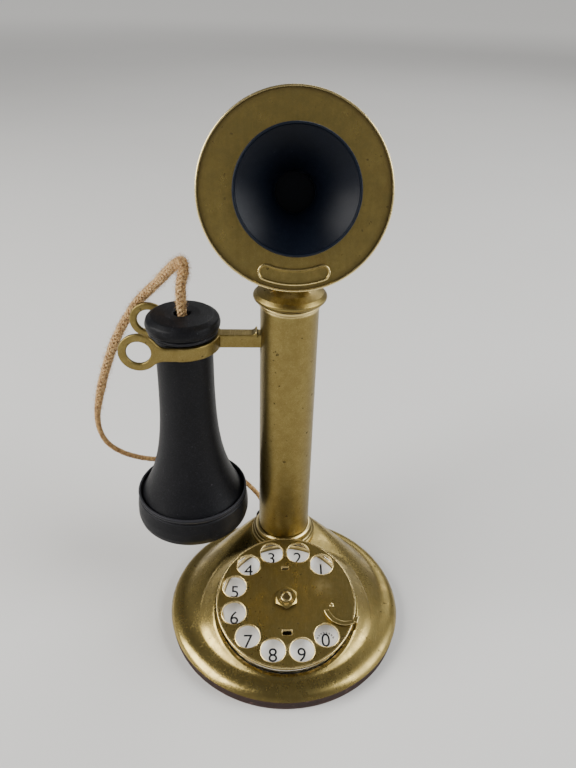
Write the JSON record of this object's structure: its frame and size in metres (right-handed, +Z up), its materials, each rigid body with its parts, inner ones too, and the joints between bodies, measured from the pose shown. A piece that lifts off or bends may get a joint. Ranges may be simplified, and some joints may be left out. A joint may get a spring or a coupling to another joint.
{
  "type": "rotary telephone",
  "caption": "Upright telephone with a finger-wheel dial in its sloping round base, a tilting mouthpiece on a stem, and a separate receiver hung in a forked switch hook.",
  "frame": {"origin": "centre of the round base's underside", "axes": "+Z up along the stem, -Y towards the user (the dial and the mouthpiece face -Y), +X to the user's right"},
  "size_m": [0.1754, 0.1428, 0.2818],
  "materials": {
    "aged_brass": "satin, darkened with age",
    "bright_brass": "polished, worn",
    "nickel": "dull nickel plate",
    "steel": "brushed",
    "hard_rubber": "black hard rubber, satin",
    "leather_board": "scuffed dark maroon board",
    "enamel": "white enamel, gloss",
    "copper": "wound copper wire",
    "braid": "straw-brown woven braid"
  },
  "bodies": {
    "base": {"base_pad": "leather_board", "base_shell": "aged_brass", "bottom_plate": "steel", "plate_screw_1": "steel", "plate_screw_2": "steel", "plate_screw_3": "steel", "terminal_strip": "hard_rubber", "cord_bushing": "hard_rubber", "line_inlet_bushing": "hard_rubber", "stem_tube": "aged_brass", "stem_foot_collar": "aged_brass", "stem_ring_nut": "bright_brass", "stem_cap": "aged_brass", "hook_pivot_pin": "steel", "tilt_screw": "bright_brass", "tilt_nut": "bright_brass", "switch_spring_block": "hard_rubber", "switch_spring_1": "nickel", "switch_spring_2": "nickel", "switch_spring_3": "nickel", "dial_case": "nickel", "number_plate": "enamel", "finger_stop": "bright_brass", "governor_cup": "bright_brass", "mainspring_case": "steel", "pulse_spring_block": "hard_rubber", "pulse_spring_1": "nickel", "pulse_spring_2": "nickel", "receiver_cord_low": "braid", "receiver_cord_middle": "braid"},
    "dial_wheel": {"finger_wheel": "aged_brass", "hub_nut": "bright_brass", "dial_shaft": "steel", "main_gear": "bright_brass", "pulse_cam": "leather_board"},
    "governor": {"governor_shaft": "steel", "governor_pinion": "steel", "governor_rotor": "bright_brass"},
    "hook": {"switch_hook": "aged_brass"},
    "transmitter": {"faceplate": "aged_brass", "face_plaque": "bright_brass", "mouthpiece": "hard_rubber", "mouthpiece_collar": "bright_brass", "transmitter_cup": "aged_brass", "transmitter_diaphragm": "steel", "carbon_button": "bright_brass", "button_bridge": "bright_brass", "cup_screw_1": "bright_brass", "cup_screw_2": "bright_brass"},
    "receiver": {"receiver_body": "hard_rubber", "receiver_cap": "hard_rubber", "ear_cap": "hard_rubber", "receiver_diaphragm": "steel", "receiver_magnet": "steel", "receiver_coil_1": "copper", "receiver_coil_2": "copper", "receiver_terminals": "hard_rubber", "receiver_cord_high": "braid"}
  },
  "joints": [
    {"name": "dial_spin", "type": "hinge", "parent": "base", "child": "dial_wheel", "pos_m": [0, -0.01793, 0.02853], "axis": [0, -0.2357, 0.9718], "range_deg": [-330, 0], "stiffness_Nm_per_rad": 0.008, "springref_deg": 114.59},
    {"name": "governor_spin", "type": "hinge", "parent": "base", "child": "governor", "pos_m": [0.01955, -0.01793, 0.02853], "axis": [0, -0.2357, 0.9718], "range_deg": [0, 990]},
    {"name": "receiver_lift", "type": "slide", "parent": "base", "child": "receiver", "axis": [0, 0, 1], "range_m": [0, 0.03]},
    {"name": "hook_lift", "type": "hinge", "parent": "base", "child": "hook", "pos_m": [0, 0.0357, 0.1607], "axis": [0, 1, 0], "range_deg": [0, 7]},
    {"name": "transmitter_tilt", "type": "hinge", "parent": "base", "child": "transmitter", "pos_m": [0, 0.0357, 0.1964], "axis": [1, 0, 0], "range_deg": [-20, 25]}
  ],
  "couplings": [
    {"joint": "governor_spin", "follows": "dial_spin", "ratio": -3},
    {"joint": "hook_lift", "follows": "receiver_lift", "rad_per_m": 4}
  ]
}
